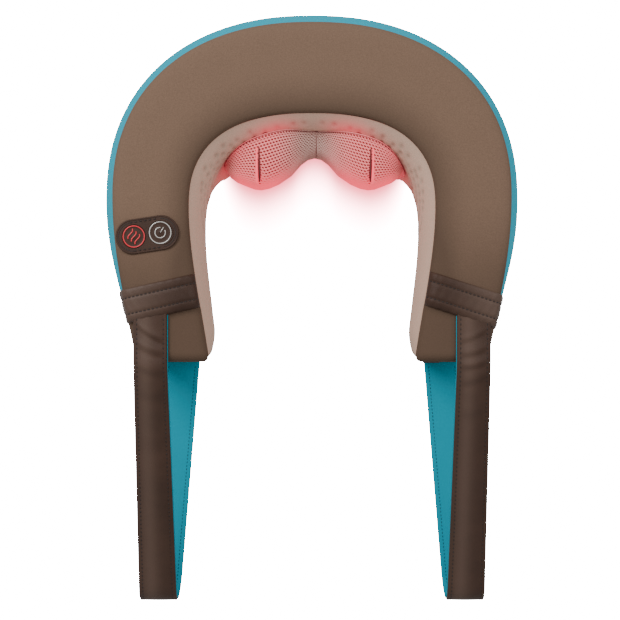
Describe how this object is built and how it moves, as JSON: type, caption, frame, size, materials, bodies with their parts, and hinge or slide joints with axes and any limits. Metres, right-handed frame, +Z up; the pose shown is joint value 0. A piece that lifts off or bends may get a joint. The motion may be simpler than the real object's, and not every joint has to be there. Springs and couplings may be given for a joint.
{
  "type": "shiatsu neck massager",
  "caption": "U-shaped padded neck massager with counter-rotating kneading heads under a mesh pouch, a fabric cover, button controls and pull-strap loops.",
  "frame": {"origin": "middle of the bounding box at its base, on the surface the massager lies on", "axes": "+Z up from the resting face, +Y from the strap loops to the back of the collar, +X to the right seen from above"},
  "size_m": [0.36, 0.52, 0.1138],
  "materials": {
    "brown_fabric": "brushed velour",
    "taupe_fabric": "soft brushed knit",
    "mesh_fabric": "open air mesh",
    "teal_fabric": "woven",
    "leatherette": "grained, satin",
    "foam": "open-cell foam",
    "white_nylon": "moulded",
    "black_plastic": "moulded",
    "steel": "turned",
    "brass": "machined",
    "zinc_plate": "zinc plated",
    "magnet": "sintered",
    "copper": "wound",
    "circuit_board": "solder mask",
    "lamp_board": "white solder mask",
    "lamp_lens": "clear red",
    "lead_jacket": "matt"
  },
  "bodies": {
    "root": {"cover_top": "brown_fabric", "cover_bottom": "brown_fabric", "outer_gusset": "teal_fabric", "inner_panel": "taupe_fabric", "node_cover": "mesh_fabric", "foam_back": "foam", "foam_leg_left": "foam", "foam_leg_right": "foam", "leg_end_cover_left": "brown_fabric", "leg_end_cover_right": "brown_fabric", "cuff_left": "leatherette", "cuff_right": "leatherette", "strap_tab_left": "leatherette", "strap_tab_right": "leatherette", "strap_flex_left": "leatherette", "strap_flex_right": "leatherette", "control_patch": "leatherette", "control_housing": "black_plastic", "control_board": "circuit_board", "tact_switches": "black_plastic", "gearbox_front": "black_plastic", "gearbox_rear": "black_plastic", "mounting_plate": "zinc_plate", "gearbox_screws": "steel", "front_bushes": "brass", "rear_bushes": "brass", "motor_can": "zinc_plate", "motor_magnets": "magnet", "rotor_bushes": "brass", "led_boards": "lamp_board", "heat_leds": "lamp_lens", "dc_jack": "black_plastic", "jack_pin": "steel", "lead_power": "lead_jacket", "lead_control": "lead_jacket"},
    "left_head": {"output_shaft_left": "steel", "worm_wheel_left": "white_nylon", "head_arm_left": "white_nylon", "head_screw_left": "steel", "roller_pins_left": "steel"},
    "right_head": {"output_shaft_right": "steel", "worm_wheel_right": "white_nylon", "head_arm_right": "white_nylon", "head_screw_right": "steel", "roller_pins_right": "steel"},
    "left_upper_roller": {"roller_left_upper": "white_nylon"},
    "left_lower_roller": {"roller_left_lower": "white_nylon"},
    "right_upper_roller": {"roller_right_upper": "white_nylon"},
    "right_lower_roller": {"roller_right_lower": "white_nylon"},
    "rotor": {"rotor_shaft": "steel", "armature": "copper", "worm_left": "brass", "worm_right": "brass"},
    "power_button": {"power_button": "leatherette"},
    "heat_button": {"heat_button": "leatherette"},
    "left_strap": {"strap_loop_left": "leatherette", "strap_lining_left": "teal_fabric"},
    "right_strap": {"strap_loop_right": "leatherette", "strap_lining_right": "teal_fabric"}
  },
  "joints": [
    {"name": "left_head_spin", "type": "hinge", "parent": "root", "child": "left_head", "pos_m": [-0.048, 0.16, 0.056], "axis": [0, 1, 0], "continuous": true},
    {"name": "right_head_spin", "type": "hinge", "parent": "root", "child": "right_head", "pos_m": [0.048, 0.16, 0.056], "axis": [0, 1, 0], "continuous": true},
    {"name": "rotor_spin", "type": "hinge", "parent": "root", "child": "rotor", "pos_m": [0, 0.18, 0.085], "axis": [1, 0, 0], "continuous": true},
    {"name": "left_upper_roller_spin", "type": "hinge", "parent": "left_head", "child": "left_upper_roller", "pos_m": [-0.048, 0.132, 0.071], "axis": [0, 1, 0], "continuous": true},
    {"name": "left_lower_roller_spin", "type": "hinge", "parent": "left_head", "child": "left_lower_roller", "pos_m": [-0.048, 0.132, 0.041], "axis": [0, 1, 0], "continuous": true},
    {"name": "right_upper_roller_spin", "type": "hinge", "parent": "right_head", "child": "right_upper_roller", "pos_m": [0.048, 0.132, 0.071], "axis": [0, 1, 0], "continuous": true},
    {"name": "right_lower_roller_spin", "type": "hinge", "parent": "right_head", "child": "right_lower_roller", "pos_m": [0.048, 0.132, 0.041], "axis": [0, 1, 0], "continuous": true},
    {"name": "power_button_press", "type": "slide", "parent": "root", "child": "power_button", "axis": [0, 0, -1], "range_m": [0, 0.0009], "stiffness_N_per_m": 800, "springref_m": -0.001},
    {"name": "heat_button_press", "type": "slide", "parent": "root", "child": "heat_button", "axis": [0, 0, -1], "range_m": [0, 0.0009], "stiffness_N_per_m": 800, "springref_m": -0.001},
    {"name": "left_strap_lift", "type": "hinge", "parent": "root", "child": "left_strap", "pos_m": [-0.127, -0.046, 0.056], "axis": [-1, 0, 0], "range_deg": [0, 25], "deforming": ["strap_flex_left"]},
    {"name": "right_strap_lift", "type": "hinge", "parent": "root", "child": "right_strap", "pos_m": [0.127, -0.046, 0.056], "axis": [-1, 0, 0], "range_deg": [0, 25], "deforming": ["strap_flex_right"]}
  ],
  "couplings": [
    {"joint": "right_head_spin", "follows": "left_head_spin", "ratio": -1},
    {"joint": "rotor_spin", "follows": "left_head_spin", "ratio": -48}
  ]
}
